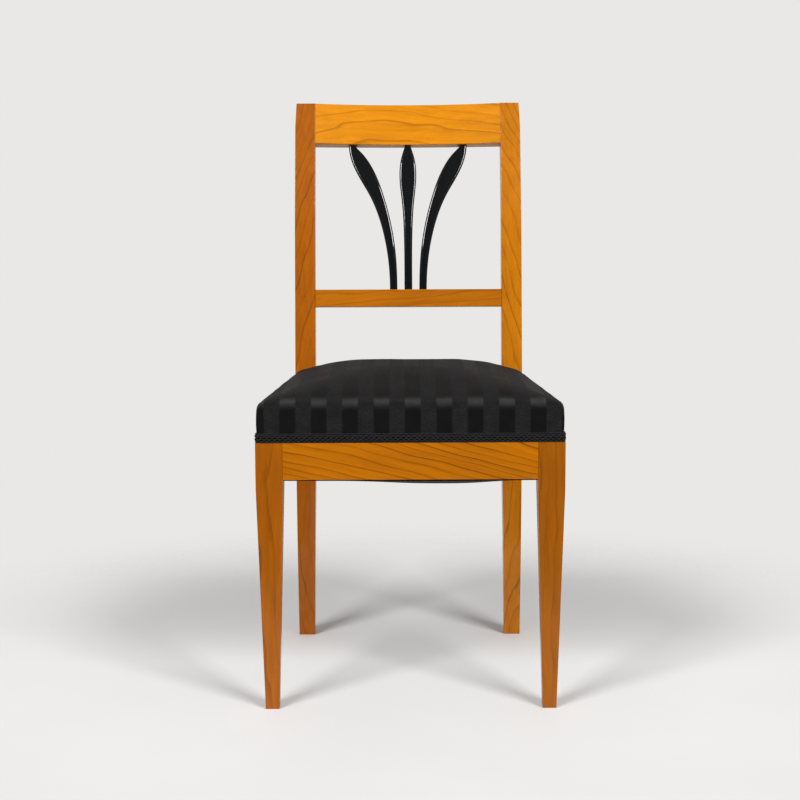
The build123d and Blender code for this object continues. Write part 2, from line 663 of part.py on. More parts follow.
def cloth_section(y, sag):
    """Bottom cloth cut across the chair: two arcs that meet at the lowest point."""
    half = side_x(y) - CLOTH_INSET / math.cos(SIDE_ANGLE)
    lines = []
    for level in (0.0, -CLOTH_THICK):
        low = (CLOTH_LOW_X, RAIL_BOTTOM + level - sag)
        for side in (-1, 1):
            lines.append(TangentArc(low, (side * half, RAIL_BOTTOM + level), tangent=(side, 0)))
    for side in (-1, 1):
        lines.append(Line((side * half, RAIL_BOTTOM), (side * half, RAIL_BOTTOM - CLOTH_THICK)))
    return Plane.XZ.offset(-y) * make_face(lines)


def bottom_cloth():
    """Slack cloth tacked under the rails, cut out round the four legs."""
    start, end = CLOTH_INSET, SEAT_BACK - CLOTH_INSET
    sections = []
    for step in range(CLOTH_SECTIONS):
        share = step / (CLOTH_SECTIONS - 1)
        sag = CLOTH_EDGE_SAG + (CLOTH_SAG - CLOTH_EDGE_SAG) * 4 * share * (1 - share)
        sections.append(cloth_section(start + (end - start) * share, sag))
    cloth = loft(sections)
    leg_room = block(LEG_INNER - COVER_ROOM, FAR, -FAR, LEG_SIZE + COVER_ROOM, 0, FAR)
    return cloth - both_sides(leg_room) - stile_notches()


# Build the pieces, the right-hand ones first
chair = {}
screws = []

rails = {"side": side_rail(), "front": front_rail(), "rear": rear_rail()}
for end_name, (points, cross_at, direction, side_y) in (("front", front_block()), ("rear", rear_block())):
    solid, block_screws, holes = corner_block(points, cross_at, direction, side_y)
    chair[f"corner_block_{end_name}_right"] = solid
    chair[f"corner_block_{end_name}_left"] = across(solid)
    for screw, hole in zip(block_screws, holes):
        screws += [screw, across(screw)]
    rails[end_name] -= both_sides(holes[0])
    rails["side"] -= holes[1]

tack_places = []
strip_names = (("left", "front"), ("centre", "middle"), ("right", "rear"))
for index, (long_name, cross_name) in enumerate(strip_names):
    for name, (strip, places) in (
        (f"webbing_long_{long_name}", long_strip(index)),
        (f"webbing_cross_{cross_name}", cross_strip(index)),
    ):
        chair[name] = strip - [tack(x, y, TACK_ROOM) for x, y in places]
        tack_places += places
tack_holes = [tack(x, y, TACK_ROOM) for x, y in tack_places]
for name in rails:
    rails[name] -= tack_holes
chair["webbing_tacks"] = Compound([tack(x, y) for x, y in tack_places])
chair["corner_block_screws"] = Compound(screws)

chair["front_leg_right"] = front_leg()
chair["rear_leg_right"] = rear_leg()
chair["side_rail_right"] = rails["side"]
for name in ("front_leg", "rear_leg", "side_rail"):
    chair[f"{name}_left"] = across(chair[f"{name}_right"])
chair["front_rail"] = rails["front"]
chair["rear_rail"] = rails["rear"]

cross = cross_rail()
crest = crest_rail()
side_foot = (SIDE_SPLAT_INNER[0][0] + SIDE_SPLAT_OUTER[0][0]) / 2
side_tip = (SIDE_SPLAT_INNER[-1][0] + SIDE_SPLAT_OUTER[-1][0]) / 2
splats = {
    "splat_centre": (centre_splat(), 0.0, 0.0),
    "splat_right": (side_splat(), side_foot, side_tip),
}
splats["splat_left"] = (across(splats["splat_right"][0]), -side_foot, -side_tip)
for name, (solid, foot_x, tip_x) in splats.items():
    for plane in splat_tenons(foot_x, tip_x):
        solid += tenon(plane, SPLAT_TENON_WIDTH, SPLAT_TENON_THICK, SPLAT_TENON_LENGTH)
        socket = mortise(plane, SPLAT_TENON_WIDTH, SPLAT_TENON_THICK, SPLAT_TENON_LENGTH)
        cross -= socket
        crest -= socket
    chair[name] = solid
chair["cross_rail"] = cross
chair["crest_rail"] = crest

spring, spring_turns = seat_spring()
print(f"least gap of a seat spring to itself: {spring_gap(spring_turns):.2f} mm")
chair["spring_front_left"] = Pos(WEB_X[0], WEB_Y[0], 0) * spring
chair["spring_front_right"] = Pos(WEB_X[2], WEB_Y[0], 0) * spring
chair["spring_centre"] = Pos(WEB_X[1], WEB_Y[1], 0) * spring
chair["spring_rear_left"] = Pos(WEB_X[0], WEB_Y[2], 0) * spring
chair["spring_rear_right"] = Pos(WEB_X[2], WEB_Y[2], 0) * spring
chair["spring_canvas"] = spring_canvas()
chair["stuffing"], chair["seat_cover"] = seat_solids()
chair["gimp_front"], chair["gimp_rear"] = braid()
chair["bottom_cloth"] = bottom_cloth()

# Centre the chair over its own box and write each piece
boxes = [shape.bounding_box() for shape in chair.values()]
front_y = min(box.min.Y for box in boxes)
rear_y = max(box.max.Y for box in boxes)
centre = Pos(0, -(front_y + rear_y) / 2, 0)
print(f"chair depth {rear_y - front_y:.1f} mm, frame shift {-(front_y + rear_y) / 2:.2f} mm")
os.makedirs("parts", exist_ok=True)
for name, shape in chair.items():
    export_step(centre * shape, f"parts/{name}.step")
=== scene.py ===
import math
import bmesh
import bpy
from mathutils import Matrix, Vector, noise
from mathutils.kdtree import KDTree


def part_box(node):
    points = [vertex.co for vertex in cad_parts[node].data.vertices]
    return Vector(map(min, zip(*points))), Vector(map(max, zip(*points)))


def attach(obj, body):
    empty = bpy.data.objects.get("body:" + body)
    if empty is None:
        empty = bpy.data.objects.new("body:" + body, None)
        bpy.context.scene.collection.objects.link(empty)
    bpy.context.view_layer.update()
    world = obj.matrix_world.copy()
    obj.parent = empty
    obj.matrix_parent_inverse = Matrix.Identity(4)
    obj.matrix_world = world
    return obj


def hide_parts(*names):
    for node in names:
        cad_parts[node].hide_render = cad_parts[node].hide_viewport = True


# Biedermeier side chair: polished cherry frame, three ebonised splats, and a sprung seat
# covered in black striped cloth with a looped braid. Metres, +Z up, the sitter faces -Y.
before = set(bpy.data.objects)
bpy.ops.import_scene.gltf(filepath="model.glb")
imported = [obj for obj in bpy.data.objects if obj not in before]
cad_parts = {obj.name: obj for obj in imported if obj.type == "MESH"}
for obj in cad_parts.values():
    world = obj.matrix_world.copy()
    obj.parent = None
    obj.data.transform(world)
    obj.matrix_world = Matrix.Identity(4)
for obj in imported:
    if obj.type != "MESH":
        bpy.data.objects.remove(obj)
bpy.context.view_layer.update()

MM = 0.001

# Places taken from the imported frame
FRONT_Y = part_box("front_rail")[0].y
BACK_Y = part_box("rear_rail")[1].y
STILE_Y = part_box("rear_leg_right")[0].y
STILE_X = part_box("rear_leg_right")[0].x
HALF_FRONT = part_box("front_leg_right")[1].x
HALF_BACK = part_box("rear_leg_right")[1].x
RAIL_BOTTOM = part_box("front_rail")[0].z
RAIL_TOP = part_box("rear_rail")[1].z
BRAID_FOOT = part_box("gimp_front")[0].z
CANVAS_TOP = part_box("spring_canvas")[1].z
SEAT_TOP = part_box("seat_cover")[1].z
SIDE_SLOPE = (HALF_FRONT - HALF_BACK) / (STILE_Y - FRONT_Y)
SIDE_COS = math.cos(math.atan(SIDE_SLOPE))

# Seat pad
PAD_ROOM = 0.4 * MM  # between the pad and the wood or canvas beside it
PAD_SWELL = 1.2 * MM  # how far the cloth may fill out under pressure
VOXEL = 6.0 * MM  # mesh that the cloth is simulated on
COVER_MASS = 0.35
COVER_PRESSURE = 4
COVER_FRAMES = 20  # of the simulation
REBATE_DEPTH = 2.5 * MM
COVER_THICK = 1.2 * MM
RAIL_THICK = 24.0 * MM
CANVAS_LAP = 12.0 * MM
CANVAS_SLOPE = 45.0 * MM
CANVAS_THICK = 1.5 * MM
# Levels of the pad: distance in from the frame, corner radius, share of the rise
PAD_LEVELS = (
    (1.3, 5.0, 0.0), (0.2, 8.0, 0.14), (0.2, 10.0, 0.34), (0.8, 12.0, 0.46), (3.2, 14.0, 0.53),
    (9.0, 19.0, 0.573), (21.0, 28.0, 0.615), (45.0, 44.0, 0.69), (80.0, 56.0, 0.785), (120.0, 58.0, 0.88),
    (165.0, 34.0, 0.94),
)
LEVEL_STEPS = 9  # rings from one level to the next
CROWN_RINGS = (0.66, 0.33, 0.08)  # innermost rings, as shares of the last level's ring
CROWN_RISE = 0.8 * MM
CORNER_STEPS = 12
SIDE_STEPS = 20
STILE_CORNER = 6.0 * MM  # largest corner radius beside a stile
ROLL_SHARE = 0.55  # height of the rolled edge, as a share of the rise
LUMP_SHARE = 0.56  # height where the stuffing is most uneven
LUMP_SPREAD = 7 * MM
STRIPE_PERIOD = 45.7 * MM
STRIPE_OFFSET = 3.9 * MM  # middle stripe right of the chair's middle
ROLL_HIGHLIGHT_PLACE = 9.0 * MM  # painted highlight along a line behind the front face, over the roll
ROLL_HIGHLIGHT_REACH = 19.0 * MM

# Braid
BRAID_LAP = 1.4 * MM  # rises over the cover's lower edge
BRAID_INSET = 1.2 * MM  # its back, in from the frame's face
BRAID_PITCH = 15.6 * MM  # two loops
CORD_RADIUS = 0.85 * MM
EDGE_CORD_RADIUS = 0.8 * MM
BRAID_CORNER = 5.0 * MM
BRAID_CORNER_STEPS = 8
BRAID_END = 0.5 * MM  # between the braid and a stile
BRAID_ROWS = (0.31, 0.69)  # heights of the two rows of loops, as shares of the braid's
BRAID_SWING = 0.135
LOOP_STEPS = 12
CORD_OUT = 1.6 * MM
CORD_CROSS = 0.55 * MM  # how far a cord passes over and under its pair
EDGE_CORD_OUT = 1.3 * MM
TAPE_OUT = 0.5 * MM
TAPE_THICK = 0.4 * MM
TAPE_STEP = 2 * MM

# Bottom cloth
CLOTH_INSET = 3.0 * MM
CLOTH_THICK = 0.8 * MM
CLOTH_SAG = RAIL_BOTTOM - CLOTH_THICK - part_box("bottom_cloth")[0].z
CLOTH_EDGE_SAG = 0.8 * MM
CLOTH_LOW_X = 60.0 * MM
CLOTH_GRID = 64
CLOTH_RIPPLE = 1.2 * MM
LEG_SIZE = 40.0 * MM

# Studio and camera
LAMP_SIZE = 1.4
LAMP_WATTS = 130.0
LAMP_PLACE = (2.1, FRONT_Y - 2.9, 3.05)
LAMP_AIM = (0.0, 0.0, 0.40)
FILL_STRENGTH = 0.27
FLOOR_RADIUS = 3.0
FLOOR_DROP = 0.2 * MM  # below the feet
FLOOR_FADE = (0.5, 1.15)  # distances where the floor starts and ends fading into the backdrop
CAMERA_SENSOR = 36.0
CAMERA_LENS = 81.93
CAMERA_EYE = (-0.01478, FRONT_Y - 2.61763, 0.82508)
CAMERA_DIP = 7.817  # degrees below level
CAMERA_ROLL = -0.0041


def side_x(y):
    """Outer face of the seat frame at depth y."""
    return HALF_FRONT - (y - FRONT_Y) * SIDE_SLOPE


def linear(code):
    """sRGB hex to the linear colour that a socket takes."""
    channels = [int(code[i:i + 2], 16) / 255 for i in (1, 3, 5)]
    return [c / 12.92 if c <= 0.04045 else ((c + 0.055) / 1.055) ** 2.4 for c in channels] + [1.0]


def add(tree, kind, sockets=None, **settings):
    """Adds a node with its settings. A socket takes a value, a node (its first output) or an output."""
    node = tree.nodes.new(kind)
    for name, value in settings.items():
        setattr(node, name, value)
    for name, value in (sockets or {}).items():
        if isinstance(value, bpy.types.Node):
            value = next(output for output in value.outputs if output.enabled)
        if isinstance(value, bpy.types.NodeSocket):
            tree.links.new(value, node.inputs[name])
        else:
            node.inputs[name].default_value = value
    return node


def new_material(name):
    made = bpy.data.materials.new(name)
    made.use_nodes = True
    made.node_tree.nodes.clear()
    return made, made.node_tree


def finish_material(tree, shader):
    add(tree, "ShaderNodeOutputMaterial", {"Surface": shader})


def set_ramp(node, stops):
    """Stops of a colour ramp: place and colour."""
    elements = node.color_ramp.elements
    while len(elements) < len(stops):
        elements.new(1.0)
    for element, (place, colour) in zip(elements, stops):
        element.position = place
        element.color = colour


def wave_scale(spacing):
    """Scale of a wave texture with its bands a spacing apart: at scale 1 they are pi / 10 apart."""
    return 2 * math.pi / spacing / 20


# Turns that lay a material's X along the grain
GRAIN_ALONG = {"X": (0.0, 0.0, 0.0), "Y": (0.0, 0.0, math.pi / 2), "Z": (0.0, -math.pi / 2, 0.0)}


def polished_cherry(node_name, grain, pith, ring, light, lines, tilt=0.0):
    """French-polished cherry: thin dark growth rings and fine fibre streaks under a clear deep gloss.

    pith is where the heart of the tree lay, across the grain from the piece's middle, and ring the
    mean ring width. light is the wood between the rings, lines how strongly the rings show, and tilt
    the grain's slope in degrees, seen from the front.
    """
    made, tree = new_material(f"polished_cherry_{node_name}")
    low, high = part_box(node_name)
    turn = list(GRAIN_ALONG[grain])
    turn[1] += math.radians(tilt)
    coords = add(tree, "ShaderNodeTexCoord")
    wood = add(
        tree, "ShaderNodeMapping",
        {"Vector": coords.outputs["Object"], "Location": (low + high) / 2, "Rotation": turn},
        vector_type="TEXTURE",
    )
    # Slow wander of the rings, drawn out along the grain
    drawn = add(tree, "ShaderNodeVectorMath", {0: wood, 1: (5.0, 16.0, 16.0)}, operation="MULTIPLY")
    wander = add(tree, "ShaderNodeTexNoise", {"Vector": drawn, "Scale": 1.0, "Detail": 2.0})
    bent = add(
        tree, "ShaderNodeVectorMath",
        {0: wander.outputs["Color"], 1: (0.5, 0.5, 0.5)}, operation="SUBTRACT",
    )
    bent = add(
        tree, "ShaderNodeVectorMath",
        {0: bent, 1: (0.0, 3.0 * ring, 3.0 * ring), 2: wood}, operation="MULTIPLY_ADD",
    )
    across = add(
        tree, "ShaderNodeVectorMath",
        {0: bent, 1: (0.0, 1.0, 1.0), 2: (0.0, -pith[0], -pith[1])}, operation="MULTIPLY_ADD",
    )
    depth = add(tree, "ShaderNodeVectorMath", {0: across}, operation="LENGTH")
    count = add(tree, "ShaderNodeMath", {0: depth.outputs["Value"], 1: ring}, operation="DIVIDE")
    year = add(tree, "ShaderNodeMath", {0: count}, operation="FLOOR")
    share = add(tree, "ShaderNodeMath", {0: count}, operation="FRACT")
    vigour = add(tree, "ShaderNodeTexWhiteNoise", {"W": year}, noise_dimensions="1D")
    late_wood = add(tree, "ShaderNodeValToRGB", {"Fac": share})
    set_ramp(late_wood, (
        (0.0, (0.25, 0.25, 0.25, 1)), (0.05, (0.0, 0.0, 0.0, 1)), (0.80, (0.10, 0.10, 0.10, 1)),
        (0.93, (0.6, 0.6, 0.6, 1)), (0.975, (1, 1, 1, 1)), (1.0, (0.3, 0.3, 0.3, 1)),
    ))
    vigour = add(
        tree, "ShaderNodeMapRange", {"Value": vigour.outputs["Value"], "To Min": 0.25, "To Max": 1.0}
    )
    line = add(tree, "ShaderNodeMath", {0: late_wood, 1: vigour}, operation="MULTIPLY")
    # Fibres about 0.6 mm wide and 40 mm long, drawn a little coarse so that they show
    thread = add(tree, "ShaderNodeVectorMath", {0: bent, 1: (25.0, 1600.0, 1600.0)}, operation="MULTIPLY")
    fibre = add(
        tree, "ShaderNodeTexNoise", {"Vector": thread, "Scale": 1.0, "Detail": 3.0, "Roughness": 0.6}
    )
    streak_at = add(tree, "ShaderNodeVectorMath", {0: bent, 1: (8.0, 190.0, 190.0)}, operation="MULTIPLY")
    streak = add(tree, "ShaderNodeTexNoise", {"Vector": streak_at, "Scale": 1.0, "Detail": 2.0})
    # Broad drift between golden and redder wood
    drift_at = add(tree, "ShaderNodeVectorMath", {0: wood, 1: (9.0, 26.0, 26.0)}, operation="MULTIPLY")
    drift = add(tree, "ShaderNodeTexNoise", {"Vector": drift_at, "Scale": 1.0, "Detail": 1.0})
    shade = add(tree, "ShaderNodeMath", {0: line, 1: lines}, operation="MULTIPLY")
    shade = add(tree, "ShaderNodeMath", {0: fibre, 1: 0.48, 2: shade}, operation="MULTIPLY_ADD")
    shade = add(tree, "ShaderNodeMath", {0: streak, 1: 0.45, 2: shade}, operation="MULTIPLY_ADD")
    shade = add(tree, "ShaderNodeMath", {0: drift, 1: 0.35, 2: shade}, operation="MULTIPLY_ADD")
    shade = add(tree, "ShaderNodeMath", {0: shade, 1: 0.50}, operation="SUBTRACT", use_clamp=True)
    colour = add(
        tree, "ShaderNodeMix",
        {"Factor": shade, "A": linear(light), "B": linear("#4A2002")}, data_type="RGBA",
    )
    gloss = add(tree, "ShaderNodeMapRange", {"Value": fibre, "To Min": 0.30, "To Max": 0.42})
    shader = add(
        tree, "ShaderNodeBsdfPrincipled",
        {
            "Base Color": colour.outputs["Result"], "Roughness": gloss, "IOR": 1.45,
            "Specular IOR Level": 0.1, "Coat Weight": 0.4, "Coat Roughness": 0.08, "Coat IOR": 1.45,
        },
    )
    finish_material(tree, shader)
    return made


def ebonised_pear():
    """Black-stained and polished wood: a deep black with a clear gloss and the faintest fibre."""
    made, tree = new_material("ebonised_pear")
    coords = add(tree, "ShaderNodeTexCoord")
    fibre_at = add(
        tree, "ShaderNodeMapping", {"Vector": coords.outputs["Object"], "Scale": (900.0, 900.0, 30.0)}
    )
    fibre = add(tree, "ShaderNodeTexNoise", {"Vector": fibre_at, "Scale": 1.0, "Detail": 2.0})
    colour = add(
        tree, "ShaderNodeMix",
        {"Factor": fibre, "A": linear("#050607"), "B": linear("#0D0F12")}, data_type="RGBA",
    )
    gloss = add(tree, "ShaderNodeMapRange", {"Value": fibre, "To Min": 0.25, "To Max": 0.38})
    shader = add(
        tree, "ShaderNodeBsdfPrincipled",
        {
            "Base Color": colour.outputs["Result"], "Roughness": gloss, "IOR": 1.45,
            "Specular IOR Level": 0.1, "Coat Weight": 0.9, "Coat Roughness": 0.05, "Coat IOR": 1.5,
        },
    )
    finish_material(tree, shader)
    return made


def sawn_beech():
    """Plain sawn beech: pale pinkish wood, matt, with short dark flecks."""
    made, tree = new_material("sawn_beech")
    coords = add(tree, "ShaderNodeTexCoord")
    fleck_at = add(
        tree, "ShaderNodeMapping", {"Vector": coords.outputs["Object"], "Scale": (250.0, 250.0, 1400.0)}
    )
    fleck = add(tree, "ShaderNodeTexNoise", {"Vector": fleck_at, "Scale": 1.0, "Detail": 2.0})
    colour = add(tree, "ShaderNodeValToRGB", {"Fac": fleck})
    set_ramp(colour, ((0.35, linear("#A87C52")), (0.6, linear("#D8B086"))))
    bump = add(tree, "ShaderNodeBump", {"Height": fleck, "Strength": 0.3, "Distance": 0.3 * MM})
    shader = add(
        tree, "ShaderNodeBsdfPrincipled", {"Base Color": colour, "Roughness": 0.75, "Normal": bump}
    )
    finish_material(tree, shader)
    return made


def woven(name, light, dark, spacing, roughness, sheen):
    """Plain-woven cloth on Object coordinates: crossing threads that show as a fine raised grid."""
    made, tree = new_material(name)
    coords = add(tree, "ShaderNodeTexCoord")
    heights = []
    for direction in ("X", "Y"):
        wave = add(
            tree, "ShaderNodeTexWave",
            {
                "Vector": coords.outputs["Object"], "Scale": wave_scale(spacing), "Distortion": 1.2,
                "Detail Scale": 3.0,
            },
            bands_direction=direction,
        )
        heights.append(wave.outputs["Fac"])
    weave = add(tree, "ShaderNodeMath", {0: heights[0], 1: heights[1]}, operation="MULTIPLY")
    slub = add(
        tree, "ShaderNodeTexNoise", {"Vector": coords.outputs["Object"], "Scale": 90.0, "Detail": 3.0}
    )
    mixed = add(tree, "ShaderNodeMath", {0: weave, 1: slub}, operation="MULTIPLY")
    colour = add(tree, "ShaderNodeValToRGB", {"Fac": mixed})
    set_ramp(colour, ((0.05, linear(dark)), (0.45, linear(light))))
    bump = add(tree, "ShaderNodeBump", {"Height": weave, "Strength": 0.5, "Distance": 0.3 * MM})
    shader = add(
        tree, "ShaderNodeBsdfPrincipled",
        {
            "Base Color": colour, "Roughness": roughness, "Sheen Weight": sheen, "Sheen Roughness": 0.5,
            "Normal": bump,
        },
    )
    finish_material(tree, shader)
    return made


def bare_metal(name, light, dark, roughness):
    """Drawn or forged metal with patches of dull oxide."""
    made, tree = new_material(name)
    coords = add(tree, "ShaderNodeTexCoord")
    patch = add(
        tree, "ShaderNodeTexNoise", {"Vector": coords.outputs["Object"], "Scale": 160.0, "Detail": 4.0}
    )
    colour = add(tree, "ShaderNodeValToRGB", {"Fac": patch})
    set_ramp(colour, ((0.35, linear(dark)), (0.65, linear(light))))
    gloss = add(
        tree, "ShaderNodeMapRange", {"Value": patch, "To Min": roughness + 0.15, "To Max": roughness - 0.1}
    )
    shader = add(
        tree, "ShaderNodeBsdfPrincipled", {"Base Color": colour, "Metallic": 1.0, "Roughness": gloss}
    )
    finish_material(tree, shader)
    return made


def striped_satin():
    """Black cotton with satin stripes: matt ribs between bands of floating warp, with a painted highlight
    where the satin passes over the front roll.
    """
    made, tree = new_material("black_satin_stripe")
    cut = add(tree, "ShaderNodeUVMap", uv_map="cloth")
    split = add(tree, "ShaderNodeSeparateXYZ", {"Vector": cut})
    place = add(
        tree, "ShaderNodeMath", {0: split.outputs["X"], 1: 1.0 / STRIPE_PERIOD}, operation="MULTIPLY"
    )
    place = add(tree, "ShaderNodeMath", {0: place, 1: STRIPE_OFFSET / STRIPE_PERIOD}, operation="SUBTRACT")
    cycle = add(tree, "ShaderNodeMath", {0: place, 1: 0.5}, operation="PINGPONG")
    # Ends of the threads stagger by about a thread at a stripe's edge
    satin = add(
        tree, "ShaderNodeMapRange",
        {"Value": cycle, "From Min": 0.235, "From Max": 0.265, "To Min": 1.0, "To Max": 0.0},
    )
    # Threads are about 0.4 mm apart, drawn at 1.4 mm so that their speckle shows
    thread = add(tree, "ShaderNodeVectorMath", {0: cut, 1: (900.0, 450.0, 1.0)}, operation="MULTIPLY")
    speckle = add(
        tree, "ShaderNodeTexNoise", {"Vector": thread, "Scale": 1.0, "Detail": 2.0}, noise_dimensions="2D"
    )
    lint = add(
        tree, "ShaderNodeTexNoise", {"Vector": cut, "Scale": 60.0, "Detail": 3.0}, noise_dimensions="2D"
    )
    matt = add(tree, "ShaderNodeValToRGB", {"Fac": speckle})
    set_ramp(matt, ((0.3, linear("#0F0F10")), (0.7, linear("#232324"))))
    float_warp = add(tree, "ShaderNodeValToRGB", {"Fac": speckle})
    set_ramp(float_warp, ((0.3, linear("#060607")), (0.7, linear("#0D0D0E"))))
    colour = add(tree, "ShaderNodeMix", {"Factor": satin, "A": matt, "B": float_warp}, data_type="RGBA")
    worn = add(
        tree, "ShaderNodeMapRange",
        {"Value": lint, "From Min": 0.3, "From Max": 0.7, "To Min": 0.85, "To Max": 1.15},
    )
    colour = add(
        tree, "ShaderNodeVectorMath", {0: colour.outputs["Result"], "Scale": worn}, operation="SCALE"
    )
    # Painted highlight: the satin stripes are painted a lighter grey along the front roll, standing in for
    # their flash in the light there
    off_roll = add(
        tree, "ShaderNodeMath", {0: split.outputs["Y"], 1: FRONT_Y + ROLL_HIGHLIGHT_PLACE}, operation="SUBTRACT"
    )
    off_roll = add(tree, "ShaderNodeMath", {0: off_roll}, operation="ABSOLUTE")
    painted_highlight = add(
        tree, "ShaderNodeMapRange",
        {"Value": off_roll, "From Max": ROLL_HIGHLIGHT_REACH, "To Min": 0.8, "To Max": 0.0},
        interpolation_type="SMOOTHSTEP",
    )
    painted_highlight = add(tree, "ShaderNodeMath", {0: painted_highlight, 1: satin}, operation="MULTIPLY")
    painted_highlight = add(tree, "ShaderNodeMath", {0: painted_highlight, 1: worn}, operation="MULTIPLY")
    # The painted highlight's colour, a lighter grey laid over the satin on the roll
    colour = add(
        tree, "ShaderNodeMix", {"Factor": painted_highlight, "A": colour, "B": linear("#363637")}, data_type="RGBA"
    ).outputs["Result"]
    gloss = add(tree, "ShaderNodeMapRange", {"Value": satin, "To Min": 0.78, "To Max": 0.64})
    bump = add(tree, "ShaderNodeBump", {"Height": speckle, "Strength": 0.35, "Distance": 0.4 * MM})
    shader = add(
        tree, "ShaderNodeBsdfPrincipled",
        {
            "Base Color": colour, "Roughness": gloss, "IOR": 1.5, "Specular IOR Level": 0.05,
            "Sheen Weight": 0.03, "Sheen Roughness": 0.4, "Normal": bump,
        },
    )
    finish_material(tree, shader)
    return made


def rayon_gimp():
    """Black rayon braid: smooth twisted cord with a soft shine on each loop."""
    made, tree = new_material("black_rayon_gimp")
    coords = add(tree, "ShaderNodeTexCoord")
    twist = add(
        tree, "ShaderNodeTexWave",
        {"Vector": coords.outputs["Object"], "Scale": wave_scale(1.1 * MM), "Distortion": 3.0},
        bands_direction="DIAGONAL",
    )
    colour = add(tree, "ShaderNodeValToRGB", {"Fac": twist})
    set_ramp(colour, ((0.1, linear("#080809")), (0.9, linear("#19191A"))))
    bump = add(
        tree, "ShaderNodeBump", {"Height": twist.outputs["Fac"], "Strength": 0.5, "Distance": 0.2 * MM}
    )
    shader = add(
        tree, "ShaderNodeBsdfPrincipled",
        {
            "Base Color": colour, "Roughness": 0.5, "Specular IOR Level": 0.3, "Sheen Weight": 0.03,
            "Sheen Roughness": 0.4, "Normal": bump,
        },
    )
    finish_material(tree, shader)
    return made


def studio_floor():
    """Pale painted studio floor that fades into the backdrop away from the chair."""
    made, tree = new_material("pale_studio_floor")
    coords = add(tree, "ShaderNodeTexCoord")
    away = add(tree, "ShaderNodeVectorMath", {0: coords.outputs["Object"]}, operation="LENGTH")
    fade = add(
        tree, "ShaderNodeMapRange",
        {"Value": away.outputs["Value"], "From Min": FLOOR_FADE[0], "From Max": FLOOR_FADE[1]},
        interpolation_type="SMOOTHSTEP",
    )
    mottle = add(
        tree, "ShaderNodeTexNoise", {"Vector": coords.outputs["Object"], "Scale": 3.0, "Detail": 3.0}
    )
    colour = add(tree, "ShaderNodeValToRGB", {"Fac": mottle})
    set_ramp(colour, ((0.3, linear("#F5F4F3")), (0.7, linear("#F9F8F7"))))
    # Painted shade: the floor is painted a little greyer in front of the chair, where the lamps are near
    # and light it most, to even out their light
    split = add(tree, "ShaderNodeSeparateXYZ", {"Vector": coords.outputs["Object"]})
    near = add(
        tree, "ShaderNodeMapRange",
        {
            "Value": split.outputs["Y"], "From Min": FRONT_Y - 0.35, "From Max": FRONT_Y + 0.25,
            "To Min": 0.87,
        },
    )
    colour = add(tree, "ShaderNodeVectorMath", {0: colour, "Scale": near}, operation="SCALE")
    paint = add(
        tree, "ShaderNodeBsdfPrincipled",
        {"Base Color": colour, "Roughness": 0.6, "Specular IOR Level": 0.2},
    )
    clear = add(tree, "ShaderNodeBsdfTransparent")
    shader = add(tree, "ShaderNodeMixShader", {"Fac": fade, 1: paint, 2: clear})
    finish_material(tree, shader)
    return made


def piece_from(bm, name, material):
    """Object at the origin from a bmesh, with its normals out and smooth shading."""
    bmesh.ops.recalc_face_normals(bm, faces=bm.faces)
    for face in bm.faces:
        face.smooth = True
    mesh = bpy.data.meshes.new(name)
    bm.to_mesh(mesh)
    bm.free()
    made = bpy.data.objects.new(name, mesh)
    bpy.context.scene.collection.objects.link(made)
    made.data.materials.append(material)
    return made


def frozen(piece):
    """Mesh of a piece with its modifiers, as it stands."""
    state = bpy.context.evaluated_depsgraph_get()
    return bpy.data.meshes.new_from_object(piece.evaluated_get(state))


def plan_depth(point):
    """How far a point lies inside the outer faces of the seat frame, seen from above."""
    return min(point.y - FRONT_Y, BACK_Y - point.y, (side_x(point.y) - abs(point.x)) * SIDE_COS)


def seat_ring(inset, corner, height):
    """Plan of the seat as a ring of points: rounded corners, and notches round the stiles at the back."""
    front = FRONT_Y + inset
    rear = BACK_Y - inset
    notch_y = min(STILE_Y - PAD_ROOM, rear)
    slant = inset / SIDE_COS
    notch_x = min(STILE_X - PAD_ROOM, side_x(notch_y) - slant)
    behind = rear > notch_y
    right = [
        (side_x(front) - slant, front, corner),
        (side_x(notch_y) - slant, notch_y, min(corner, STILE_CORNER) if behind else corner),
        (notch_x, notch_y, 0.0),
        (notch_x, rear, min(corner, STILE_CORNER) if behind else 0.0),
    ]
    corners = right + [(-x, y, radius) for x, y, radius in reversed(right)]
    points = []
    for index, (x, y, radius) in enumerate(corners):
        here = Vector((x, y, height))
        next_x, next_y, next_radius = corners[(index + 1) % len(corners)]
        before = Vector((*corners[index - 1][:2], height)) - here
        after = Vector((next_x, next_y, height)) - here
        start = here + before.normalized() * min(radius, before.length / 2)
        end = here + after.normalized() * min(radius, after.length / 2)
        for step in range(CORNER_STEPS + 1):
            share = step / CORNER_STEPS
            points.append(start.lerp(here, share).lerp(here.lerp(end, share), share))
        far = here + after - after.normalized() * min(next_radius, after.length / 2)
        points += [end.lerp(far, step / SIDE_STEPS) for step in range(1, SIDE_STEPS)]
    return points


def filled_in(levels, steps):
    """Levels filled in along a smooth line through the given ones."""
    levels = [Vector(level) for level in levels]
    filled = []
    for index in range(len(levels) - 1):
        before, start, end, after = (levels[min(max(index + k, 0), len(levels) - 1)] for k in (-1, 0, 1, 2))
        for step in range(steps):
            t = step / steps
            bend = 2 * before - 5 * start + 4 * end - after + t * (3 * (start - end) + after - before)
            filled.append(start + 0.5 * t * (end - before + t * bend))
    return filled + [levels[-1]]


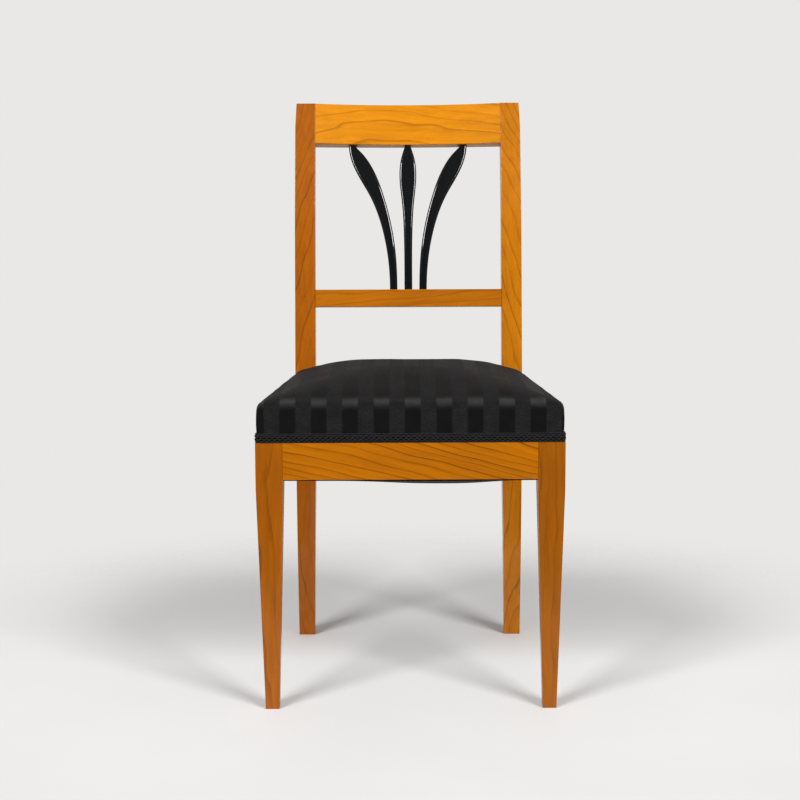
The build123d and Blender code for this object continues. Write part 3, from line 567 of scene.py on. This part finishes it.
def pad_levels():
    """Rings of the pad: from the hollow over the canvas out to the tacked edge, and over the dome."""
    rise = SEAT_TOP - RAIL_TOP
    on_canvas = RAIL_TOP + CANVAS_THICK + PAD_ROOM
    on_rail = RAIL_TOP + PAD_ROOM
    lap = RAIL_THICK - CANVAS_LAP - PAD_ROOM
    inner = REBATE_DEPTH - 0.05 * MM
    outer = inner - COVER_THICK
    foot = BRAID_FOOT + PAD_ROOM
    levels = [
        (RAIL_THICK + CANVAS_SLOPE, 6.0 * MM, CANVAS_TOP + PAD_ROOM), (RAIL_THICK, 5.0 * MM, on_canvas),
        (lap, 5.0 * MM, on_canvas), (lap - PAD_ROOM, 5.0 * MM, on_rail), (inner, 4.0 * MM, on_rail),
        (inner, 4.0 * MM, foot), (outer, 5.0 * MM, foot),
    ]
    for inset, corner, share in filled_in(PAD_LEVELS, LEVEL_STEPS):
        levels.append((inset * MM, corner * MM, RAIL_TOP + share * rise))
    return levels


def pad_form():
    """Closed form of the cover and the stuffing under it."""
    rings = [seat_ring(*level) for level in pad_levels()]
    top = rings[-1]
    middle = sum(top, Vector()) / len(top)
    for share in CROWN_RINGS:
        lift = Vector((0, 0, (1 - share) * CROWN_RISE))
        rings.append([middle.lerp(point, share) + lift for point in top])
    bm = bmesh.new()
    bmesh.ops.create_circle(bm, cap_ends=True, segments=len(rings[0]), radius=1.0)
    cap = bm.faces[:][0]
    for index, ring in enumerate(rings):
        if index:
            grown = bmesh.ops.extrude_face_region(bm, geom=[cap])["geom"]
            cap = next(item for item in grown if isinstance(item, bmesh.types.BMFace))
        for vert, point in zip(cap.verts, ring):
            vert.co = point
    bmesh.ops.remove_doubles(bm, verts=bm.verts, dist=0.02 * MM)
    bmesh.ops.triangulate(bm, faces=[face for face in bm.faces if len(face.verts) > 4])
    return bm


def held_down(point):
    """True where the pad rests on the frame and the canvas, or its cover is tacked."""
    return point.z < RAIL_TOP + MM or (point.z < CANVAS_TOP + 3 * MM and plan_depth(point) > 8 * MM)


def swollen(piece):
    """Fills the pad out as its cloth does under pressure, held where it is tacked and underneath.

    The cloth is simulated on an evenly meshed copy, and the pad follows it.
    """
    even = piece.modifiers.new("even", "REMESH")
    even.mode = "VOXEL"
    even.voxel_size = VOXEL
    copy = bpy.data.objects.new("simulated_cover", frozen(piece))
    piece.modifiers.remove(even)
    scene = bpy.context.scene
    scene.collection.objects.link(copy)
    held = copy.vertex_groups.new(name="held")
    held.add([vert.index for vert in copy.data.vertices if held_down(vert.co)], 1.0, "REPLACE")
    cloth = copy.modifiers.new("cover", "CLOTH")
    cloth.settings.quality = 5
    cloth.settings.mass = COVER_MASS
    cloth.settings.use_pressure = True
    cloth.settings.uniform_pressure_force = COVER_PRESSURE
    cloth.settings.vertex_group_mass = held.name
    cloth.settings.effector_weights.gravity = 0
    for number in range(1, COVER_FRAMES + 1):
        scene.frame_set(number)
    moved = frozen(copy)
    near = KDTree(len(moved.vertices))
    for vert in copy.data.vertices:
        near.insert(vert.co, vert.index)
    near.balance()
    steps = [end.co - start.co for start, end in zip(copy.data.vertices, moved.vertices)]
    for vert in piece.data.vertices:
        if not held_down(vert.co):
            close = near.find_n(vert.co, 6)
            step = sum((steps[index] for _, index, _ in close), Vector()) / len(close)
            vert.co += step * min(1.0, PAD_SWELL / max(step.length, 1e-9))
    scene.frame_set(1)
    bpy.data.meshes.remove(moved)
    bpy.data.objects.remove(copy)


def stuff_unevenly(piece):
    """Small hollows and lumps of hand stuffing, most along the rolled edge."""
    uneven = RAIL_TOP + LUMP_SHARE * (SEAT_TOP - RAIL_TOP)
    for vert in piece.data.vertices:
        if held_down(vert.co):
            continue
        near_roll = math.exp(-((vert.co.z - uneven) / LUMP_SPREAD) ** 2)
        lump = noise.noise(vert.co * 20.0) * 0.7 + noise.noise(vert.co * 55.0) * 0.45 * near_roll
        vert.co += vert.normal * lump * MM


def clear_of_stiles(piece):
    """Presses the pad back where it would grow into a stile."""
    for vert in piece.data.vertices:
        into_x = abs(vert.co.x) - (STILE_X - PAD_ROOM / 2)
        into_y = vert.co.y - (STILE_Y - PAD_ROOM / 2)
        if into_x > 0 and into_y > 0:
            if into_x < into_y:
                vert.co.x -= math.copysign(into_x, vert.co.x)
            else:
                vert.co.y -= into_y


def lay_stripes(piece):
    """UV map of the cloth as it was cut: stripes run front to back, over the front and down the sides."""
    cloth = piece.data.uv_layers.new(name="cloth")
    roll = RAIL_TOP + ROLL_SHARE * (SEAT_TOP - RAIL_TOP)
    for face in piece.data.polygons:
        normal = face.normal
        on_side = abs(normal.x) > abs(normal.y) and face.center.z < roll
        on_front = not on_side and face.center.z < roll
        for loop in face.loop_indices:
            point = piece.data.vertices[piece.data.loops[loop].vertex_index].co
            drop = max(roll - point.z, 0.0)
            across, along = point.x, point.y
            if on_side:
                across = math.copysign(abs(point.x) + drop, point.x)
            elif on_front:
                along = point.y + math.copysign(drop, point.y)
            cloth.data[loop].uv = (across, along)


def seat_pad(material):
    pad = piece_from(pad_form(), "seat_pad", material)
    swollen(pad)
    stuff_unevenly(pad)
    clear_of_stiles(pad)
    lay_stripes(pad)
    return pad


def seat_path(points):
    """Line round the seat, seen from above, with its corners rounded."""
    line = []
    for index, point in enumerate(points):
        here = Vector(point)
        if index in (0, len(points) - 1):
            line.append(here)
            continue
        before = (Vector(points[index - 1]) - here).normalized() * BRAID_CORNER
        after = (Vector(points[index + 1]) - here).normalized() * BRAID_CORNER
        for step in range(BRAID_CORNER_STEPS + 1):
            share = step / BRAID_CORNER_STEPS
            line.append((here + before).lerp(here, share).lerp(here.lerp(here + after, share), share))
    return line


def along_path(line, distance):
    """Place and outward normal at a distance along a line, with the seat on the left of its direction."""
    for start, end in zip(line, line[1:]):
        length = (end - start).length
        if distance <= length or end is line[-1]:
            way = (end - start).normalized()
            return start + way * distance, Vector((way.y, -way.x))
        distance -= length


def braid_strands(length):
    """Strands of the braid: two rows of looped pairs and two edge cords.

    Each has its radius, and its points as distance along the braid, height and depth.
    """
    height = RAIL_TOP + BRAID_LAP - BRAID_FOOT
    steps = int(length / BRAID_PITCH * LOOP_STEPS)
    strands = []
    for row in BRAID_ROWS:
        for side in (-1, 1):
            strand = []
            for step in range(steps + 1):
                distance = length * step / steps
                turn = 2 * math.pi * distance / BRAID_PITCH
                level = row * height + side * BRAID_SWING * height * math.sin(turn)
                strand.append((distance, level, CORD_OUT + side * CORD_CROSS * math.cos(turn)))
            strands.append((CORD_RADIUS, strand))
    edge_steps = int(length / TAPE_STEP)
    for level in (EDGE_CORD_RADIUS, height - EDGE_CORD_RADIUS):
        edge = [(length * step / edge_steps, level, EDGE_CORD_OUT) for step in range(edge_steps + 1)]
        strands.append((EDGE_CORD_RADIUS, edge))
    return strands


def gimp(name, line, material):
    """Looped braid laid along a line round the seat."""
    length = sum((end - start).length for start, end in zip(line, line[1:]))
    bm = bmesh.new()
    for radius, strand in braid_strands(length):
        curve = bpy.data.curves.new("strand", "CURVE")
        curve.dimensions = "3D"
        curve.bevel_depth = radius
        curve.bevel_resolution = 1
        curve.use_fill_caps = True
        spline = curve.splines.new("POLY")
        spline.points.add(len(strand) - 1)
        for point, (distance, level, out) in zip(spline.points, strand):
            place, normal = along_path(line, distance)
            place = place + normal * out
            point.co = (place.x, place.y, BRAID_FOOT + level, 1.0)
        cord = bpy.data.objects.new("strand", curve)
        bpy.context.scene.collection.objects.link(cord)
        tube = frozen(cord)
        bm.from_mesh(tube)
        bpy.data.objects.remove(cord)
        bpy.data.curves.remove(curve)
        bpy.data.meshes.remove(tube)
    # Woven tape behind the loops
    steps = int(length / TAPE_STEP)
    tape = bmesh.ops.create_grid(bm, x_segments=steps, y_segments=1, size=0.5)["verts"]
    for vert in tape:
        place, normal = along_path(line, min(max((vert.co.x + 0.5) * length, 0.0), length))
        place = place + normal * TAPE_OUT
        vert.co = (place.x, place.y, BRAID_FOOT + (vert.co.y + 0.5) * (RAIL_TOP + BRAID_LAP - BRAID_FOOT))
    faces = list({face for vert in tape for face in vert.link_faces})
    back = bmesh.ops.extrude_face_region(bm, geom=faces)["geom"]
    for vert in [item for item in back if isinstance(item, bmesh.types.BMVert)]:
        vert.co.xy += (Vector((0.0, (FRONT_Y + BACK_Y) / 2)) - vert.co.xy).normalized() * TAPE_THICK
    return piece_from(bm, name, material)


def bottom_sheet(material):
    """Black cotton tacked under the rails, slack enough to hang below them right of the middle."""
    start, end = FRONT_Y + CLOTH_INSET, BACK_Y - CLOTH_INSET
    bm = bmesh.new()
    bmesh.ops.create_grid(bm, x_segments=CLOTH_GRID, y_segments=CLOTH_GRID, size=0.5)
    for vert in bm.verts:
        along = vert.co.y + 0.5
        y = start + (end - start) * along
        half = side_x(y) - CLOTH_INSET / SIDE_COS
        x = 2 * vert.co.x * half
        vert.co = (x, y, 0.0)
    inner = HALF_FRONT - LEG_SIZE - PAD_ROOM
    cuts = ((inner, FRONT_Y + LEG_SIZE + PAD_ROOM, -1), (STILE_X - PAD_ROOM, STILE_Y - PAD_ROOM, 1))
    for x, y, _ in cuts:
        for place, normal in (((x, 0, 0), (1, 0, 0)), ((-x, 0, 0), (1, 0, 0)), ((0, y, 0), (0, 1, 0))):
            geometry = bm.verts[:] + bm.edges[:] + bm.faces[:]
            bmesh.ops.bisect_plane(bm, geom=geometry, plane_co=place, plane_no=normal, dist=1e-6)
    gone = []
    for face in bm.faces:
        middle = face.calc_center_median()
        if any(abs(middle.x) > x and (middle.y - y) * way > 0 for x, y, way in cuts):
            gone.append(face)
    bmesh.ops.delete(bm, geom=gone, context="FACES")
    for vert in bm.verts:
        along = (vert.co.y - start) / (end - start)
        sag = CLOTH_EDGE_SAG + (CLOTH_SAG - CLOTH_EDGE_SAG) * 4 * along * (1 - along)
        half = side_x(vert.co.y) - CLOTH_INSET / SIDE_COS
        reach = half - CLOTH_LOW_X if vert.co.x > CLOTH_LOW_X else half + CLOTH_LOW_X
        share = (vert.co.x - CLOTH_LOW_X) / reach
        ripple = noise.noise(Vector((vert.co.x * 14, vert.co.y * 5, 0.3))) * CLOTH_RIPPLE
        loose = max(1 - share * share, 0.0) * 4 * along * (1 - along)
        vert.co.z = RAIL_BOTTOM - CLOTH_THICK - sag * max(1 - share * share, 0.0) + ripple * loose
    area = sum(face.calc_area() for face in bm.faces)
    sheet = piece_from(bm, "bottom_sheet", material)
    thick = sheet.modifiers.new("thick", "SOLIDIFY")
    thick.thickness = CLOTH_THICK
    thick.offset = 0.0
    return sheet


def light_studio():
    """Two soft lamps at the front, left and right, and an even fill."""
    for name, side in (("lamp_left", -1.0), ("lamp_right", 1.0)):
        lamp = bpy.data.lights.new(name, "AREA")
        lamp.shape = "SQUARE"
        lamp.size = LAMP_SIZE
        lamp.energy = LAMP_WATTS
        made = bpy.data.objects.new(name, lamp)
        spot = Vector((side * LAMP_PLACE[0], *LAMP_PLACE[1:]))
        aim = Vector(LAMP_AIM) - spot
        made.matrix_world = Matrix.Translation(spot) @ aim.to_track_quat("-Z", "Y").to_matrix().to_4x4()
        bpy.context.scene.collection.objects.link(made)
    world = bpy.data.worlds.new("studio")
    world.use_nodes = True
    tree = world.node_tree
    tree.nodes.clear()
    path = add(tree, "ShaderNodeLightPath")
    # The pale backdrop stands behind the chair and the room in front of it is dim, so polish stays deep
    coords = add(tree, "ShaderNodeTexCoord")
    way = add(tree, "ShaderNodeSeparateXYZ", {"Vector": coords.outputs["Generated"]})
    behind = add(
        tree, "ShaderNodeMapRange",
        {"Value": way.outputs["Y"], "From Min": -0.1, "From Max": 0.4, "To Min": 0.05, "To Max": 1.0},
    )
    strength = add(
        tree, "ShaderNodeMix", {"Factor": path.outputs["Is Glossy Ray"], "A": 1.0, "B": behind}
    )
    shown = add(
        tree, "ShaderNodeMath",
        {0: path.outputs["Is Camera Ray"], 1: path.outputs["Is Transmission Ray"]}, operation="MAXIMUM",
    )
    shown = add(tree, "ShaderNodeMath", {0: shown, 1: path.outputs["Is Glossy Ray"]}, operation="MAXIMUM")
    fill = add(tree, "ShaderNodeBackground", {"Color": linear("#FFFFFF"), "Strength": FILL_STRENGTH})
    backdrop = add(tree, "ShaderNodeBackground", {"Color": linear("#E9E8E6"), "Strength": strength})
    both = add(tree, "ShaderNodeMixShader", {"Fac": shown, 1: fill, 2: backdrop})
    add(tree, "ShaderNodeOutputWorld", {"Surface": both})
    bpy.context.scene.world = world
    floor_mesh = bmesh.new()
    bmesh.ops.create_circle(floor_mesh, cap_ends=True, segments=64, radius=FLOOR_RADIUS)
    for vert in floor_mesh.verts:
        vert.co.z = -FLOOR_DROP
    floor = piece_from(floor_mesh, "floor", studio_floor())


def photo_camera():
    """Camera at the photograph's height, distance and slight roll."""
    camera = bpy.data.cameras.new("camera")
    camera.sensor_width = CAMERA_SENSOR
    camera.lens = CAMERA_LENS
    made = bpy.data.objects.new("camera", camera)
    tip = Matrix.Rotation(math.radians(90 - CAMERA_DIP), 4, "X")
    roll = Matrix.Rotation(CAMERA_ROLL, 4, "Z")
    made.matrix_world = Matrix.Translation(CAMERA_EYE) @ tip @ roll
    bpy.context.scene.collection.objects.link(made)
    bpy.context.scene.camera = made


def dress(names, material):
    for name in names:
        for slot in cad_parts[name].material_slots:
            slot.material = material


# Wood of the frame: every piece is cut from its own place in the board, and its light tone is partly its
# own wood and partly painted light
# Painted light in the tones: the crest is lighter partly as it stands high and near the lamps, and the
# right rear leg is lighter than the left as it catches more light
CHERRY = (
    ("crest_rail", "X", (0.075, -0.105), 0.0120, {"light": "#E28C02", "lines": 0.55, "tilt": 1.5}),
    ("cross_rail", "X", (0.050, 0.060), 0.0095, {"light": "#BE6D02", "lines": 0.45, "tilt": -5.0}),
    ("front_rail", "X", (0.045, -0.110), 0.0090, {"light": "#BC6C02", "lines": 0.85, "tilt": 14.0}),
    ("rear_rail", "X", (0.060, 0.070), 0.0090, {"light": "#B06404", "lines": 0.45}),
    ("side_rail_left", "Y", (0.070, 0.080), 0.0090, {"light": "#A65E04", "lines": 0.45}),
    ("side_rail_right", "Y", (-0.080, 0.060), 0.0090, {"light": "#A65E04", "lines": 0.45}),
    ("front_leg_left", "Z", (0.075, 0.050), 0.0090, {"light": "#A65A06", "lines": 0.55, "tilt": 2.0}),
    ("front_leg_right", "Z", (0.070, -0.060), 0.0085, {"light": "#A05906", "lines": 0.55, "tilt": -1.5}),
    ("rear_leg_left", "Z", (0.090, 0.080), 0.0080, {"light": "#B05E02", "lines": 0.55, "tilt": 1.0}),
    ("rear_leg_right", "Z", (0.080, -0.060), 0.0085, {"light": "#CA7802", "lines": 0.55, "tilt": -1.5}),
)
for node_name, grain, pith, ring, finish in CHERRY:
    dress([node_name], polished_cherry(node_name, grain, pith, ring, **finish))
dress(["splat_left", "splat_centre", "splat_right"], ebonised_pear())
dress(
    [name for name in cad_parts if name.startswith("corner_block_") and "screws" not in name],
    sawn_beech(),
)
dress(["corner_block_screws", "webbing_tacks"], bare_metal("forged_iron", "#5A5652", "#3A2E28", 0.5))
dress(
    [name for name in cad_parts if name.startswith("spring_") and name != "spring_canvas"],
    bare_metal("coppered_spring_wire", "#A9714A", "#6E4630", 0.4),
)
dress(
    [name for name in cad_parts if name.startswith("webbing_") and name != "webbing_tacks"],
    woven("jute_webbing", "#BFA06C", "#6E5633", 2.6 * MM, 0.9, 0.1),
)
dress(["spring_canvas"], woven("hessian", "#B1945F", "#5F4A2B", 2.0 * MM, 0.9, 0.1))

pad = seat_pad(striped_satin())
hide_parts("seat_cover", "stuffing")
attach(pad, "root")

braid = rayon_gimp()
wall = FRONT_Y + BRAID_INSET
edge = BRAID_INSET / SIDE_COS
front_line = seat_path([
    (-side_x(STILE_Y) + edge, STILE_Y - BRAID_END), (-side_x(wall) + edge, wall),
    (side_x(wall) - edge, wall), (side_x(STILE_Y) - edge, STILE_Y - BRAID_END),
])
rear_wall = BACK_Y - BRAID_INSET
rear_line = [Vector((STILE_X - BRAID_END, rear_wall)), Vector((-STILE_X + BRAID_END, rear_wall))]
for node_name, line in (("gimp_front", front_line), ("gimp_rear", rear_line)):
    made = gimp(node_name.replace("gimp", "looped_braid"), line, braid)
    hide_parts(node_name)
    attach(made, "root")

sheet = bottom_sheet(woven("black_cotton", "#141415", "#060607", 1.4 * MM, 0.95, 0.03))
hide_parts("bottom_cloth")
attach(sheet, "root")

light_studio()
photo_camera()
bpy.context.scene.view_settings.view_transform = "Standard"
